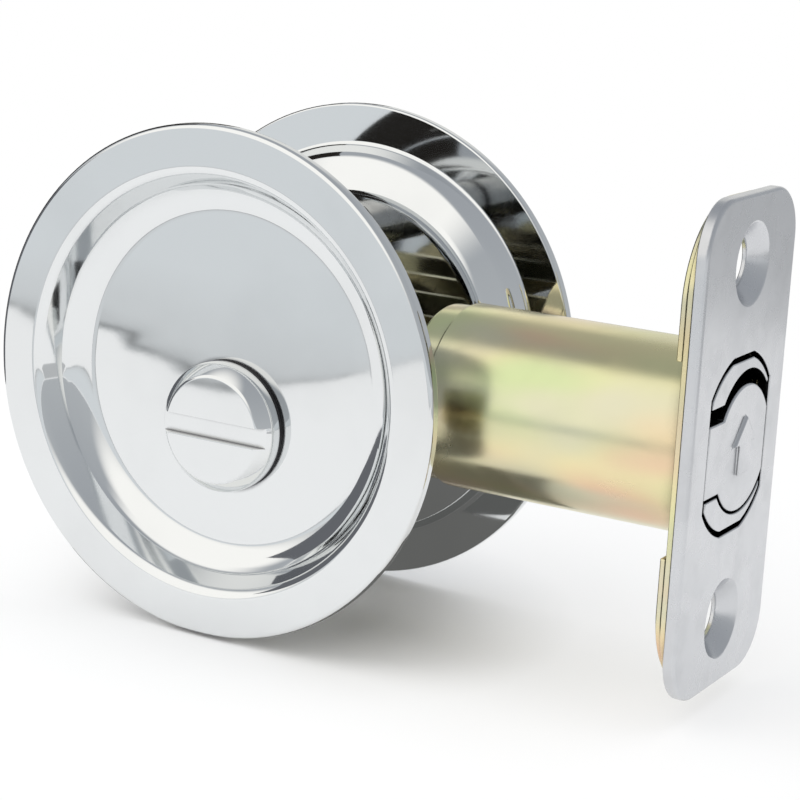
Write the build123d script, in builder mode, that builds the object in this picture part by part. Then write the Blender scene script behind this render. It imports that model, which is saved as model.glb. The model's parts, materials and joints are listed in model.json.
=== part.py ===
import os
from math import radians, sin, sqrt, tan

from build123d import *

os.makedirs("parts", exist_ok=True)

# Millimetres. The axis of the cross bore is Y, the latch centreline is X and +Z is up.
# The origin is where the two cross, half way through the door.
# The button and the inside turn sit below it, on their own axis along Y.
# The faceplate looks along +X and the outside of the door is at -Y.

# Door preparation
door = 33.0
half = door / 2
backset = 60.3
turn_z = -5.7

# Clearances
run_fit = 0.05
flat_gap = 0.1
side_gap = 0.5

# Roses
rose_r = 31.0
rim = 1.6
rim_round = 0.7
sheet = 1.0
lip_r = rose_r - 5.4
lip_round = 0.9
crease_r = lip_r - 1.9
step_depth = 3.2
floor_r = crease_r - 3.8
cup_depth = 5.0
face_d = half + rim
floor_d = face_d - cup_depth
floor_back_d = floor_d - sheet

# Through screws and the posts they pull on
post_z = 15.5
post_r = 3.1
post_end = floor_back_d - 2.0
screw_r = 2.0
screw_head_r = 3.4
screw_head = 1.7
screw_end = -6.0
recess_l = 4.6
recess_w = 0.9

# Button, inside turn and their necks
washer_t = 0.4
button_d = floor_d + washer_t + flat_gap
button_r = 8.0
washer_in = 0.1
button_face_d = button_d + 3.1
button_bevel = 1.45
button_bevel_drop = 1.65
coin_w = 2.5
coin_depth = 1.0
neck_r = 5.0
clip_t = 0.8
clip_d = floor_back_d - flat_gap - clip_t
clip_seat_r = 4.2
clip_r = 6.2
neck_end = clip_d - 0.7
thumb_base_r = 5.8
thumb_base = 1.6
thumb_l = 22.0
thumb_w = 4.6

# Spindle and hub
blade_t = 2.4
blade_w = 5.0
blade_end = floor_d
hub_r = 4.0
hub_flat = 3.2
crank_r = 7.8
crank_pin_r = 1.9
crank_eye_r = 3.0
web_in = 2.1
web_out = 4.5

# Latch tube
tube_r = 11.1
tube_wall = 0.5
tube_rear = 22.4
tube_neck = 3.2
tube_lip = 1.0
tube_in = tube_r - tube_wall
lip_in = tube_in - 0.9
tube_shoulder = tube_rear + tube_neck
guide_l = 17.25

# Cheeks behind the tube
cheek_in = 5.0
cheek_t = 1.2
cheek_rear = 13.5
cheek_front = tube_rear - 0.6
cheek_low = post_z - post_r - 0.3
cheek_round = 4.0
tongue_end = tube_rear + 5.6
rivet_r = 1.0
rivet_head_r = 1.5
rivet_head = 0.8
rear_rivet_in = 2.2
front_rivet_in = 3.8
rivet_edge = 1.6
detent_t = 0.4
detent_z = turn_z - hub_flat - 0.3
detent_rivet_x = 8.6
detent_rivet_z = detent_z - detent_t - rivet_r

# Faceplate, backing and ears
plate_w = 25.4
plate_h = 57.15
plate_t = 1.5
plate_corner = 6.3
backing_t = 0.75
backing_in = 0.25
backing_corner = 10.0
ear_t = 0.8
ear_corner = backing_corner + 1.0
screw_pitch = 41.28
plate_round = 0.5
hole_r = 3.0
sink_r = 4.75
sink_slope = 41.0
land = 0.6
collar_wall = 0.85
collar_gap = 0.2
mouth_r = tube_in + 0.1
mouth_w = 2 * (tube_in - 2.1)
mouth_h = 2 * (tube_in - 0.3)
plate_back = backset - plate_t
backing_back = plate_back - backing_t
ear_back = backing_back - ear_t
sink_x = backset - (sink_r - hole_r) / tan(radians(sink_slope))
collar_back = sink_x - land
collar_r = sink_r - plate_t * tan(radians(sink_slope)) + collar_wall
clear_r = collar_r + collar_gap

# Bolt nose
nose_t = 3.0
nose_r = mouth_w / 2 - 1.1
nose_y = 1.9
nose_z = -0.75
nose_w = mouth_w - 0.4
band_top = 3.45
band_low = -4.95
nose_back = backset - nose_t
stem_w = 9.0
stem_h = 2 * (nose_r - 0.8)
stem_rear = 28.0
stem_slot = 4.4
stem_slot_end = 51.0
bar_rivet_in = 2.2
bar_rivet_pitch = 4.0
arrow_rise = 0.35
arrow_tip = 3.0
arrow_half = 3.0
arrow_barb = -0.2
arrow_shaft = 1.7
arrow_foot = -3.7

# Drive bar
bar_t = 3.6
bar_front = 36.0
bar_h = 7.0
bar_low = turn_z + hub_r + 0.5
prong = 2.6
crank_x = -crank_r * sin(radians(45))
crank_z = turn_z - crank_x
shoulder_x = hub_r + 0.8
fork_w = 2 * (crank_pin_r + side_gap)
fork_top = turn_z + crank_r + crank_pin_r + 0.4
bar_top = fork_top + 1.5

# Claws
claw_l = 26.0
pivot_x = backset - claw_l
pivot_z = stem_h / 2 + 0.3
claw_pin_r = 1.2
claw_eye_r = 2.3
claw_eye_w = 4.0
claw_head = 2.5
claw_in_r = nose_r + 1.0
claw_gap = 0.6
claw_tip_z = mouth_h / 2 - 5.0
claw_arm_w = 7.0
claw_arm_low = stem_h / 2 + 0.4
claw_arm_top = claw_arm_low + 1.7
claw_eye_l = 4.4
claw_root = claw_in_r + 0.1
claw_root_t = 1.05
claw_taper = 6.0
claw_arm_rear = pivot_x + 4.0
hairpin_w = 3.0
hairpin_t = 0.5
hairpin_rear = 41.0
hairpin_toe = 3.0


turn_plane = Plane.XY.offset(turn_z)
turn_axis = Axis((0, 0, turn_z), (0, 1, 0))


def wall(y0, y1):
    """Plane at the outer of two depths and the distance between them, to extrude towards -Y."""
    return Plane.XZ.offset(-max(y0, y1)), abs(y1 - y0)


def rose_outline(side):
    """Half section of a rose, drawn in radius and distance from the middle of the door."""
    with BuildLine() as outline:
        crease = (crease_r, side * (face_d - step_depth))
        lip_low = (lip_r - lip_round, side * (face_d - lip_round))
        lip_top = (lip_r, side * face_d)
        rim_top = (rose_r - rim_round, side * face_d)
        rim_side = (rose_r, side * (face_d - rim_round))
        Line((0, side * floor_d), (floor_r, side * floor_d))
        TangentArc((floor_r, side * floor_d), crease, tangent=(1, 0))
        Line(crease, lip_low)
        RadiusArc(lip_low, lip_top, side * lip_round)
        Line(lip_top, rim_top)
        RadiusArc(rim_top, rim_side, side * rim_round)
        Polyline(
            rim_side,
            (rose_r, side * half),
            (lip_r + 0.2, side * half),
            (crease_r + sheet, side * (face_d - step_depth - 0.4)),
            (floor_r + 0.7, side * floor_back_d),
            (0, side * floor_back_d),
            (0, side * floor_d),
        )
    return outline.edges()


def neck_outline(side):
    """Half section of the neck under a button or turn, with the groove for its clip."""
    with BuildLine() as outline:
        Polyline(
            (0, side * button_d),
            (neck_r, side * button_d),
            (neck_r, side * (clip_d + clip_t)),
            (clip_seat_r, side * (clip_d + clip_t)),
            (clip_seat_r, side * clip_d),
            (neck_r, side * clip_d),
            (neck_r, side * neck_end),
            (0, side * neck_end),
            close=True,
        )
    return outline.edges()


def mouth():
    """Opening for the bolt, drawn on the active sketch."""
    Circle(mouth_r)
    Rectangle(mouth_w, mouth_h, mode=Mode.INTERSECT)


# Roses
with BuildPart() as outside_rose:
    with BuildSketch(Plane.XY):
        make_face(rose_outline(-1))
    revolve(axis=Axis.Y)
    plane, depth = wall(-floor_d - 1, -floor_back_d + 1)
    with BuildSketch(plane):
        with Locations((0, turn_z)):
            Circle(neck_r + run_fit)
    extrude(amount=depth, mode=Mode.SUBTRACT)

with BuildPart() as inside_rose:
    with BuildSketch(Plane.XY):
        make_face(rose_outline(1))
    revolve(axis=Axis.Y)
    plane, depth = wall(floor_back_d - 1, floor_d + 1)
    with BuildSketch(plane):
        with Locations((0, turn_z)):
            Circle(neck_r + run_fit)
        with Locations((0, post_z), (0, -post_z)):
            Circle(screw_r + 0.2)
    extrude(amount=depth, mode=Mode.SUBTRACT)

with BuildPart() as screw_posts:
    plane, depth = wall(-floor_back_d, post_end)
    with BuildSketch(plane):
        with Locations((0, post_z), (0, -post_z)):
            Circle(post_r)
            Circle(screw_r, mode=Mode.SUBTRACT)
    extrude(amount=depth)

with BuildPart() as through_screws:
    plane, depth = wall(screw_end, floor_d)
    with BuildSketch(plane):
        with Locations((0, post_z), (0, -post_z)):
            Circle(screw_r)
    extrude(amount=depth)
    plane, depth = wall(floor_d, floor_d + screw_head)
    with BuildSketch(plane):
        with Locations((0, post_z), (0, -post_z)):
            Circle(screw_head_r)
    extrude(amount=depth)
    fillet(through_screws.edges().group_by(Axis.Y)[-1], 0.8)
    plane, depth = wall(floor_d + screw_head - 0.9, floor_d + screw_head + 1)
    with BuildSketch(plane):
        with Locations((0, post_z), (0, -post_z)):
            Rectangle(recess_l, recess_w)
            Rectangle(recess_w, recess_l)
    extrude(amount=depth, mode=Mode.SUBTRACT)

# Washers under the button and the inside turn
with BuildPart() as outside_washer:
    plane, depth = wall(-floor_d - washer_t, -floor_d)
    with BuildSketch(plane):
        with Locations((0, turn_z)):
            Circle(button_r - washer_in)
            Circle(neck_r + run_fit, mode=Mode.SUBTRACT)
    extrude(amount=depth)

with BuildPart() as inside_washer:
    plane, depth = wall(floor_d, floor_d + washer_t)
    with BuildSketch(plane):
        with Locations((0, turn_z)):
            Circle(thumb_base_r - washer_in)
            Circle(neck_r + run_fit, mode=Mode.SUBTRACT)
    extrude(amount=depth)

# Outside button with its coin slot
with BuildPart() as outside_button:
    with BuildSketch(turn_plane):
        make_face(neck_outline(-1))
        with BuildLine():
            Polyline(
                (0, -button_d),
                (button_r, -button_d),
                (button_r, -(button_face_d - button_bevel_drop)),
                (button_r - button_bevel, -button_face_d),
                (0, -button_face_d),
                close=True,
            )
        make_face()
    revolve(axis=turn_axis)
    rim_edges = outside_button.edges().filter_by(GeomType.CIRCLE)
    rim_edges = rim_edges.filter_by(lambda e: abs(e.radius - button_r) < run_fit)
    fillet(rim_edges.sort_by(Axis.Y)[0], 0.3)
    plane, depth = wall(-button_face_d - 1, -button_face_d + coin_depth)
    with BuildSketch(plane):
        with Locations((0, turn_z)):
            Rectangle(2 * button_r + 2, coin_w)
    extrude(amount=depth, mode=Mode.SUBTRACT)
    plane, depth = wall(-blade_end, 0)
    with BuildSketch(plane):
        with Locations((0, turn_z)):
            Rectangle(blade_t, blade_w)
    extrude(amount=depth, mode=Mode.SUBTRACT)

# Inside turn, a thumb bar that stays within the cup
with BuildPart() as inside_turn:
    with BuildSketch(turn_plane):
        make_face(neck_outline(1))
        with BuildLine():
            Polyline(
                (0, button_d),
                (thumb_base_r, button_d),
                (thumb_base_r, button_d + thumb_base),
                (0, button_d + thumb_base),
                close=True,
            )
        make_face()
    revolve(axis=turn_axis)
    plane, depth = wall(button_d + thumb_base, button_face_d)
    with BuildSketch(plane):
        with Locations((0, turn_z)):
            SlotOverall(thumb_l, thumb_w)
    extrude(amount=depth)
    fillet(inside_turn.edges().group_by(Axis.Y)[-1], 0.8)
    plane, depth = wall(0, blade_end)
    with BuildSketch(plane):
        with Locations((0, turn_z)):
            Rectangle(blade_t, blade_w)
    extrude(amount=depth, mode=Mode.SUBTRACT)


def clip(side):
    """Open ring that snaps into the groove of a neck, gap downwards."""
    plane, depth = wall(side * clip_d, side * (clip_d + clip_t))
    with BuildSketch(plane) as ring:
        with Locations((0, turn_z)):
            Circle(clip_r)
            Circle(clip_seat_r, mode=Mode.SUBTRACT)
        with Locations((0, turn_z - clip_r)):
            Rectangle(1.4 * clip_seat_r, 2 * clip_r, mode=Mode.SUBTRACT)
    extrude(ring.sketch, amount=depth)


with BuildPart() as outside_clip:
    clip(-1)

with BuildPart() as inside_clip:
    clip(1)

# Flat spindle from the button to the inside turn
with BuildPart() as spindle:
    plane, depth = wall(-blade_end, blade_end)
    with BuildSketch(plane):
        with Locations((0, turn_z)):
            Rectangle(blade_t, blade_w)
    extrude(amount=depth)

# Hub with its crank and the flats that the detent spring rests against
with BuildPart() as hub:
    plane, depth = wall(-cheek_in - cheek_t - 0.3, cheek_in + cheek_t + 0.3)
    with BuildSketch(plane):
        with Locations((0, turn_z)):
            Circle(hub_r)
    extrude(amount=depth)
    for low, high in ((-web_out, -web_in), (web_in, web_out)):
        plane, depth = wall(low, high)
        with BuildSketch(plane):
            with Locations((0, turn_z)):
                Circle(hub_r)
            with Locations((crank_x, crank_z)):
                Circle(crank_eye_r)
            make_hull()
        extrude(amount=depth)
    plane, depth = wall(-web_out, web_out)
    with BuildSketch(plane):
        with Locations((crank_x, crank_z)):
            Circle(crank_pin_r)
    extrude(amount=depth)
    plane, depth = wall(-web_in, web_in)
    with BuildSketch(plane):
        with Locations((0, turn_z)):
            Circle(hub_r + 0.5)
            Rectangle(2 * hub_flat, 2 * hub_flat, mode=Mode.SUBTRACT)
    extrude(amount=depth, mode=Mode.SUBTRACT)
    plane, depth = wall(-blade_end, blade_end)
    with BuildSketch(plane):
        with Locations((0, turn_z)):
            Rectangle(blade_t, blade_w)
    extrude(amount=depth, mode=Mode.SUBTRACT)

# Cheeks that carry the hub and reach into the tube
tongue_z = sqrt(lip_in**2 - (cheek_in + cheek_t) ** 2) - run_fit
rivet_spots = (
    (-detent_rivet_x, detent_rivet_z),
    (detent_rivet_x, detent_rivet_z),
    (rear_rivet_in - cheek_rear, turn_z),
    (cheek_front - front_rivet_in, tongue_z - rivet_edge),
    (cheek_front - front_rivet_in, -tongue_z),
)


def cheek(low, high):
    """One cheek plate between two depths."""
    plane, depth = wall(low, high)
    with BuildSketch(plane) as outline:
        with BuildLine():
            Polyline(
                (-cheek_rear, -cheek_low),
                (cheek_front, -cheek_low),
                (cheek_front, -tongue_z),
                (tongue_end, -tongue_z),
                (tongue_end, tongue_z),
                (-cheek_rear, tongue_z),
                close=True,
            )
        make_face()
        fillet(outline.vertices().group_by(Axis.X)[0], cheek_round)
        with Locations((0, turn_z)):
            Circle(hub_r + run_fit, mode=Mode.SUBTRACT)
        with Locations(*rivet_spots):
            Circle(rivet_r, mode=Mode.SUBTRACT)
    extrude(outline.sketch, amount=depth)


with BuildPart() as outside_cheek:
    cheek(-cheek_in - cheek_t, -cheek_in)

with BuildPart() as inside_cheek:
    cheek(cheek_in, cheek_in + cheek_t)

with BuildPart() as cheek_rivets:
    plane, depth = wall(-cheek_in - cheek_t, cheek_in + cheek_t)
    with BuildSketch(plane):
        with Locations(*rivet_spots):
            Circle(rivet_r)
    extrude(amount=depth)
    for side in (-1, 1):
        plane, depth = wall(side * (cheek_in + cheek_t), side * (cheek_in + cheek_t + rivet_head))
        with BuildSketch(plane):
            with Locations(*rivet_spots):
                Circle(rivet_head_r)
        extrude(amount=depth)

# Leaf that lies on the two lower rivets and holds the hub at either end of its turn
with BuildPart() as detent_spring:
    plane, depth = wall(-web_in + 0.4, web_in - 0.4)
    leaf_x = detent_rivet_x + rivet_r + detent_t
    with BuildSketch(plane):
        with BuildLine():
            Polyline(
                (-leaf_x, detent_z),
                (leaf_x, detent_z),
                (leaf_x, detent_rivet_z),
                (leaf_x - detent_t, detent_rivet_z),
                (leaf_x - detent_t, detent_z - detent_t),
                (-leaf_x + detent_t, detent_z - detent_t),
                (-leaf_x + detent_t, detent_rivet_z),
                (-leaf_x, detent_rivet_z),
                close=True,
            )
        make_face()
    extrude(amount=depth)

# Latch tube, drawn in to a short neck at its rear end
with BuildPart() as latch_tube:
    with BuildSketch(Plane.XY):
        with BuildLine():
            Polyline(
                (tube_rear, lip_in),
                (tube_rear, tube_in),
                (tube_shoulder, tube_in),
                (tube_shoulder, tube_r),
                (backing_back, tube_r),
                (backing_back, tube_in),
                (tube_shoulder + tube_lip, tube_in),
                (tube_shoulder + tube_lip, lip_in),
                close=True,
            )
        make_face()
        fillet(vertices().group_by(Axis.X)[1].sort_by(Axis.Y)[-1:], 0.3)
        fillet(vertices().group_by(Axis.X)[0].sort_by(Axis.Y)[-1:], 0.5)
    revolve(axis=Axis.X)

# Shoes inside the tube that keep the bolt nose from turning
with BuildPart() as bolt_guides:
    with BuildSketch(Plane.YZ.offset(ear_back - guide_l)):
        Circle(tube_in)
        Rectangle(mouth_w, 2 * tube_in, mode=Mode.SUBTRACT)
    extrude(amount=guide_l)

# Faceplate, its backing and the ears on the tube
with BuildPart() as faceplate:
    with BuildSketch(Plane.YZ.offset(plate_back)):
        RectangleRounded(plate_w, plate_h, plate_corner)
    extrude(amount=plate_t)
    fillet(faceplate.faces().sort_by(Axis.X)[-1].edges(), plate_round)
    with BuildSketch(Plane.YZ.offset(plate_back)):
        mouth()
    extrude(amount=plate_t, mode=Mode.SUBTRACT)
    for hole_z in (-screw_pitch / 2, screw_pitch / 2):
        section = Plane(origin=(0, 0, hole_z), x_dir=(1, 0, 0), z_dir=(0, -1, 0))
        axis = Axis((0, 0, hole_z), (1, 0, 0))
        with BuildSketch(section):
            with BuildLine():
                Polyline(
                    (plate_back, 0),
                    (plate_back, collar_r),
                    (collar_back, hole_r + collar_wall),
                    (collar_back, 0),
                    close=True,
                )
            make_face()
        revolve(axis=axis)
        with BuildSketch(section):
            with BuildLine():
                Polyline(
                    (backset, 0),
                    (backset, sink_r),
                    (sink_x, hole_r),
                    (collar_back, hole_r),
                    (collar_back, 0),
                    close=True,
                )
            make_face()
        revolve(axis=axis, mode=Mode.SUBTRACT)

with BuildPart() as backing_plate:
    with BuildSketch(Plane.YZ.offset(backing_back)):
        RectangleRounded(plate_w - 2 * backing_in, plate_h - 2 * backing_in, backing_corner)
        with BuildSketch(mode=Mode.SUBTRACT):
            mouth()
        with Locations((0, screw_pitch / 2), (0, -screw_pitch / 2)):
            Circle(clear_r, mode=Mode.SUBTRACT)
    extrude(amount=backing_t)

with BuildPart() as mounting_ears:
    with BuildSketch(Plane.YZ.offset(ear_back)):
        RectangleRounded(plate_w - 4 * backing_in, plate_h - 4 * backing_in, ear_corner)
        Circle(tube_r, mode=Mode.SUBTRACT)
        Rectangle(plate_w, 2 * tube_r, mode=Mode.SUBTRACT)
        with Locations((0, screw_pitch / 2), (0, -screw_pitch / 2)):
            Circle(clear_r, mode=Mode.SUBTRACT)
    extrude(amount=ear_t)

bar_rivet_spots = (
    (stem_rear + bar_rivet_in, 0),
    (stem_rear + bar_rivet_in + bar_rivet_pitch, 0),
)

# Bolt nose with a raised arrow, flush with the faceplate when drawn back, and its forked stem
with BuildPart() as bolt_nose:
    with BuildSketch(Plane.YZ.offset(nose_back)):
        with Locations((nose_y, nose_z)):
            Circle(nose_r)
        with Locations((nose_y / 2 - nose_w / 4, (band_top + band_low) / 2)):
            Rectangle(nose_y + nose_w / 2, band_top - band_low)
        Rectangle(nose_w, mouth_h, mode=Mode.INTERSECT)
    extrude(amount=nose_t)
    with BuildSketch(Plane.YZ.offset(stem_rear)):
        Rectangle(stem_w, stem_h)
    extrude(amount=nose_back - stem_rear)
    plane, depth = wall(-stem_w / 2, stem_w / 2)
    with BuildSketch(plane):
        with Locations((pivot_x, pivot_z), (pivot_x, -pivot_z)):
            Circle(claw_eye_r)
    extrude(amount=depth)
    plane, depth = wall(-stem_slot / 2, stem_slot / 2)
    with BuildSketch(plane):
        with Locations(((stem_rear + stem_slot_end) / 2 - 1, 0)):
            Rectangle(stem_slot_end - stem_rear + 2, 4 * pivot_z)
    extrude(amount=depth, mode=Mode.SUBTRACT)
    plane, depth = wall(-stem_w, stem_w)
    with BuildSketch(plane):
        with Locations((pivot_x, pivot_z), (pivot_x, -pivot_z)):
            Circle(claw_pin_r)
        with Locations(*bar_rivet_spots):
            Circle(claw_pin_r)
    extrude(amount=depth, mode=Mode.SUBTRACT)
    with BuildSketch(Plane.YZ.offset(backset)):
        with BuildLine():
            Polyline(
                (nose_y, arrow_tip),
                (nose_y + arrow_half, arrow_barb),
                (nose_y + arrow_shaft, arrow_barb),
                (nose_y + arrow_shaft, arrow_foot),
                (nose_y - arrow_shaft, arrow_foot),
                (nose_y - arrow_shaft, arrow_barb),
                (nose_y - arrow_half, arrow_barb),
                close=True,
            )
        make_face()
    extrude(amount=arrow_rise)

# Drive bar whose fork rides on the crank pin
with BuildPart() as drive_bar:
    plane, depth = wall(-bar_t / 2, bar_t / 2)
    with BuildSketch(plane):
        rear = crank_x - fork_w / 2 - prong
        fore = crank_x + fork_w / 2 + prong
        with BuildLine():
            Polyline(
                (rear, bar_low),
                (rear, bar_top),
                (fore, bar_top),
                (fore + 2 * prong, bar_h / 2),
                (bar_front, bar_h / 2),
                (bar_front, -bar_h / 2),
                (shoulder_x, -bar_h / 2),
                (shoulder_x, bar_low),
                close=True,
            )
        make_face()
        with Locations((crank_x, (bar_low + fork_top) / 2)):
            Rectangle(fork_w, fork_top - bar_low, mode=Mode.SUBTRACT)
        with Locations(*bar_rivet_spots):
            Circle(claw_pin_r, mode=Mode.SUBTRACT)
    extrude(amount=depth)

with BuildPart() as bar_rivets:
    plane, depth = wall(-stem_w / 2, stem_w / 2)
    with BuildSketch(plane):
        with Locations(*bar_rivet_spots):
            Circle(claw_pin_r)
    extrude(amount=depth)

with BuildPart() as claw_pins:
    plane, depth = wall(-stem_w / 2, stem_w / 2)
    with BuildSketch(plane):
        with Locations((pivot_x, pivot_z), (pivot_x, -pivot_z)):
            Circle(claw_pin_r)
    extrude(amount=depth)

# Hairpin leaf between the two claw arms
with BuildPart() as claw_spring:
    plane, depth = wall(-hairpin_w / 2, hairpin_w / 2)
    leg_z = claw_arm_low - hairpin_t / 2 - run_fit
    with BuildSketch(plane):
        with BuildLine():
            toe = Line((stem_slot_end - 1.0, leg_z), (stem_slot_end - 1.0 - hairpin_toe, leg_z))
            Line(toe @ 1, (hairpin_rear + bar_h / 4, bar_h / 4))
            RadiusArc((hairpin_rear + bar_h / 4, bar_h / 4), (hairpin_rear, 0), -bar_h / 4)
            mirror(about=Plane.XZ)
        trace(line_width=hairpin_t)
    extrude(amount=depth)


def claw():
    """Upper claw: a crescent head at the faceplate on an arm that pivots far behind it."""
    head_back = backset - claw_head
    with BuildSketch(Plane.YZ.offset(head_back)) as head:
        Circle(mouth_r - claw_gap)
        Rectangle(mouth_w - 2 * claw_gap, mouth_h - 2 * claw_gap - 0.1, mode=Mode.INTERSECT)
        with Locations((nose_y, 0)):
            Circle(claw_in_r, mode=Mode.SUBTRACT)
        with Locations((0, -mouth_r + claw_tip_z)):
            Rectangle(4 * mouth_r, 2 * mouth_r, mode=Mode.SUBTRACT)
    extrude(head.sketch, amount=claw_head)
    plane, depth = wall(-claw_arm_w / 2, claw_arm_w / 2)
    with BuildSketch(plane) as arm:
        with BuildLine():
            Polyline(
                (head_back, claw_root),
                (head_back, claw_root + claw_root_t),
                (head_back - claw_taper / 2, claw_root + claw_root_t / 2),
                (head_back - claw_taper, claw_arm_top),
                (claw_arm_rear, claw_arm_top),
                (claw_arm_rear, claw_arm_low),
                (head_back - 0.75 * claw_taper, claw_arm_low),
                (head_back - claw_taper / 6, claw_root),
                close=True,
            )
        make_face()
    extrude(arm.sketch, amount=depth)
    plane, depth = wall(-claw_eye_w / 2, claw_eye_w / 2)
    with BuildSketch(plane) as eye:
        with Locations((pivot_x, pivot_z)):
            Circle(claw_eye_r)
        with Locations((pivot_x + claw_eye_l / 2, (claw_arm_top + claw_arm_low) / 2)):
            Rectangle(claw_eye_l, claw_arm_top - claw_arm_low)
        with Locations((pivot_x, pivot_z)):
            Circle(claw_pin_r + run_fit, mode=Mode.SUBTRACT)
    extrude(eye.sketch, amount=depth)


with BuildPart() as upper_claw:
    claw()

with BuildPart() as lower_claw:
    claw()
    mirror(about=Plane.XY, mode=Mode.REPLACE)

# One file for each piece
pieces = {
    "outside_rose": outside_rose,
    "inside_rose": inside_rose,
    "screw_posts": screw_posts,
    "through_screws": through_screws,
    "outside_washer": outside_washer,
    "inside_washer": inside_washer,
    "outside_button": outside_button,
    "inside_turn": inside_turn,
    "outside_clip": outside_clip,
    "inside_clip": inside_clip,
    "spindle": spindle,
    "hub": hub,
    "outside_cheek": outside_cheek,
    "inside_cheek": inside_cheek,
    "cheek_rivets": cheek_rivets,
    "detent_spring": detent_spring,
    "latch_tube": latch_tube,
    "bolt_guides": bolt_guides,
    "faceplate": faceplate,
    "backing_plate": backing_plate,
    "mounting_ears": mounting_ears,
    "bolt_nose": bolt_nose,
    "drive_bar": drive_bar,
    "bar_rivets": bar_rivets,
    "claw_pins": claw_pins,
    "claw_spring": claw_spring,
    "upper_claw": upper_claw,
    "lower_claw": lower_claw,
}
for name, piece in pieces.items():
    piece.part.label = name
    export_step(piece.part, f"parts/{name}.step")
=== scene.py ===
import json
import math

import bmesh
import bpy
from bpy.props import FloatProperty, FloatVectorProperty, PointerProperty
from mathutils import Matrix, Vector


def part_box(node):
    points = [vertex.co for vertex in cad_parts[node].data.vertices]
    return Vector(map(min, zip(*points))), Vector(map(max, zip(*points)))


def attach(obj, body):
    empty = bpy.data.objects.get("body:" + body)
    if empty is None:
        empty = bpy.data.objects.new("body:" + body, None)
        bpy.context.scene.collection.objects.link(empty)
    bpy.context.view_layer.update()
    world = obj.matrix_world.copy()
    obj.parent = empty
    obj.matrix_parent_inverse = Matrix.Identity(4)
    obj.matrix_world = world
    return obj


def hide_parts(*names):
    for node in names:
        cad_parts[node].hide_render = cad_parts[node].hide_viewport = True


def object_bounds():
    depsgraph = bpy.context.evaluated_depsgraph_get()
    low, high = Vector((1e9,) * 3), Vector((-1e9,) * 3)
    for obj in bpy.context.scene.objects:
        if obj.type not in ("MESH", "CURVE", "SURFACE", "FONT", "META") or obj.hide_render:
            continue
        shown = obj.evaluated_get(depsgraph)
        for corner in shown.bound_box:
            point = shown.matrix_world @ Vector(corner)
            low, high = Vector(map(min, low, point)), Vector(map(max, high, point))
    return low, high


bl_info = {
    "name": "Pocket door lock",
    "version": (1, 0, 0),
    "blender": (4, 5, 0),
    "location": "View3D > Sidebar > Lock",
    "description": "Dresses the frame of a round pocket door lock",
    "category": "Object",
}

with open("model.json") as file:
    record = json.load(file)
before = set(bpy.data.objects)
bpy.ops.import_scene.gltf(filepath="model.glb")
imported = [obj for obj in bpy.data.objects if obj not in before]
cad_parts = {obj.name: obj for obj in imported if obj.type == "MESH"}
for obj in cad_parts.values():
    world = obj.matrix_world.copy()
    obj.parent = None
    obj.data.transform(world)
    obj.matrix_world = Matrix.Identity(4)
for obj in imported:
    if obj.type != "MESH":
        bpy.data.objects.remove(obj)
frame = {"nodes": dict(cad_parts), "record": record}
CAD_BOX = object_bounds()

# Places read from the frame
ROSE_LOW, ROSE_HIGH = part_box("outside_rose")
BUTTON_LOW, BUTTON_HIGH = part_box("outside_button")
TUBE_LOW, TUBE_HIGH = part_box("latch_tube")
SCREWS_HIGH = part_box("through_screws")[1]
TURN_Z = (BUTTON_LOW.z + BUTTON_HIGH.z) / 2
SCREW_Z = SCREWS_HIGH.z - SCREWS_HIGH.x

# Heights of the stage
FLOOR_GAP = 0.0003
CARD_LIFT = 0.0004
FLOOR_Z = CAD_BOX[0].z - FLOOR_GAP
CARD_Z = FLOOR_Z + CARD_LIFT

# Mesh steps and tolerances
SPIN_STEPS = 160
DRILL_STEPS = 96
DRILL_REACH = 0.004
NEAR = 2e-6
MERGE = 1e-6
FLAT_ANGLE = math.radians(0.5)
SMOOTH_ANGLE = math.radians(32)
BEVEL_ANGLE = math.radians(40)

# Narrow rounding of the claws' fronts and the coin slot
CLAW_EDGE = 0.00016
SLOT_EDGE = 0.00014

# Sockets of a colour mix node
MIX_A = 6
MIX_B = 7
MIX_OUT = 2

# Finish of each material slot of the frame
FINISHES = {
    "chrome": "mirror_plate",
    "satin_chrome": "satin_plate",
    "yellow_zinc": "straw_zinc",
    "bright_zinc": "clear_zinc",
    "spring_steel": "oiled_steel",
    "black_plastic": "moulded_black",
}

# Stage: tones of the cards and flags, where the flags stand, and the fitted lens
PALE_CARD = (0.55, 0.56, 0.57)
GREY_CARD = (0.50, 0.52, 0.53)
# Painted shadow: tone of the dark card under the lock, which only the metal sees, in place of the floor's
# shade.
SHADED_FLOOR = (0.15, 0.15, 0.145)
SLATE = (0.15, 0.155, 0.17)
SOOT = (0.02, 0.018, 0.016)
FLAG_X = -0.12
SENSOR_MM = 36.0
PHOTO_PX = 800.0
FOCAL_PX = 2342.13


# Sizes and colours that a user may change

def length(name, description, default):
    """A length in metres."""
    return FloatProperty(name=name, description=description, default=default, unit="LENGTH", precision=5)


def swatch(name, description, default):
    """A base colour."""
    return FloatVectorProperty(name=name, description=description, default=default, subtype="COLOR", size=3)


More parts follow.
